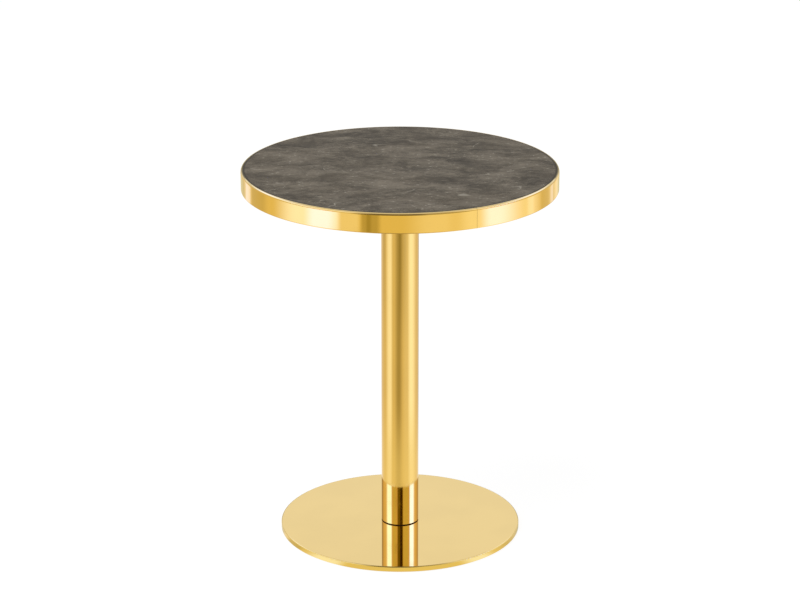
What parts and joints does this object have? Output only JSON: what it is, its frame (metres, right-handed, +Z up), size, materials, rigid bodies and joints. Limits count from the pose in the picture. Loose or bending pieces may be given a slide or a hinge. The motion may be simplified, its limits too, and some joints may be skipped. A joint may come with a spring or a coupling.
{
  "type": "round pedestal table",
  "caption": "Round pedestal table: stone slab in a rolled metal channel, on a polished tube column and a flat weighted disc base with screw-in levelling glides.",
  "frame": {"origin": "on the floor, under the column's axis", "axes": "+Z up along the column, +X to the right and -Y to the front as pictured"},
  "size_m": [0.6, 0.6, 0.7273],
  "materials": {
    "honed_stone": "satin",
    "rim_gold": "polished",
    "column_gold": "polished",
    "base_gold": "polished",
    "sealed_board": "matte",
    "black_coat": "satin",
    "bare_steel": "satin",
    "zinc_plate": "satin",
    "black_rubber": "matte",
    "black_nylon": "matte"
  },
  "bodies": {
    "table": {"stone_top": "honed_stone", "rim_band": "rim_gold", "top_core": "sealed_board", "mounting_plate": "black_coat", "plate_screw_1": "zinc_plate", "plate_screw_2": "zinc_plate", "plate_screw_3": "zinc_plate", "plate_screw_4": "zinc_plate", "plate_screw_5": "zinc_plate", "plate_screw_6": "zinc_plate", "plate_screw_7": "zinc_plate", "plate_screw_8": "zinc_plate", "column_tube": "column_gold", "head_plug": "bare_steel", "foot_plug": "bare_steel", "head_bolt_1": "zinc_plate", "head_bolt_2": "zinc_plate", "head_bolt_3": "zinc_plate", "foot_bolt_1": "zinc_plate", "foot_bolt_2": "zinc_plate", "foot_bolt_3": "zinc_plate", "column_gasket": "black_rubber", "base_cover": "base_gold", "base_weight": "black_coat"},
    "pad_1": {"glide_pad_1": "black_nylon"},
    "pad_2": {"glide_pad_2": "black_nylon"},
    "pad_3": {"glide_pad_3": "black_nylon"},
    "pad_4": {"glide_pad_4": "black_nylon"},
    "stud_1": {"glide_stud_1": "zinc_plate"},
    "stud_2": {"glide_stud_2": "zinc_plate"},
    "stud_3": {"glide_stud_3": "zinc_plate"},
    "stud_4": {"glide_stud_4": "zinc_plate"}
  },
  "joints": [
    {"name": "pad_1_drop", "type": "slide", "parent": "table", "child": "pad_1", "axis": [0, 0, -1], "range_m": [0, 0.0025]},
    {"name": "stud_1_turn", "type": "hinge", "parent": "pad_1", "child": "stud_1", "pos_m": [0.14036, 0.14036, 0.005], "axis": [0, 0, -1], "range_deg": [0, 720]},
    {"name": "pad_2_drop", "type": "slide", "parent": "table", "child": "pad_2", "axis": [0, 0, -1], "range_m": [0, 0.0025]},
    {"name": "stud_2_turn", "type": "hinge", "parent": "pad_2", "child": "stud_2", "pos_m": [-0.14036, 0.14036, 0.005], "axis": [0, 0, -1], "range_deg": [0, 720]},
    {"name": "pad_3_drop", "type": "slide", "parent": "table", "child": "pad_3", "axis": [0, 0, -1], "range_m": [0, 0.0025]},
    {"name": "stud_3_turn", "type": "hinge", "parent": "pad_3", "child": "stud_3", "pos_m": [-0.14036, -0.14036, 0.005], "axis": [0, 0, -1], "range_deg": [0, 720]},
    {"name": "pad_4_drop", "type": "slide", "parent": "table", "child": "pad_4", "axis": [0, 0, -1], "range_m": [0, 0.0025]},
    {"name": "stud_4_turn", "type": "hinge", "parent": "pad_4", "child": "stud_4", "pos_m": [0.14036, -0.14036, 0.005], "axis": [0, 0, -1], "range_deg": [0, 720]}
  ],
  "couplings": [
    {"joint": "stud_1_turn", "follows": "pad_1_drop", "rad_per_m": 5026.5},
    {"joint": "stud_2_turn", "follows": "pad_2_drop", "rad_per_m": 5026.5},
    {"joint": "stud_3_turn", "follows": "pad_3_drop", "rad_per_m": 5026.5},
    {"joint": "stud_4_turn", "follows": "pad_4_drop", "rad_per_m": 5026.5}
  ]
}
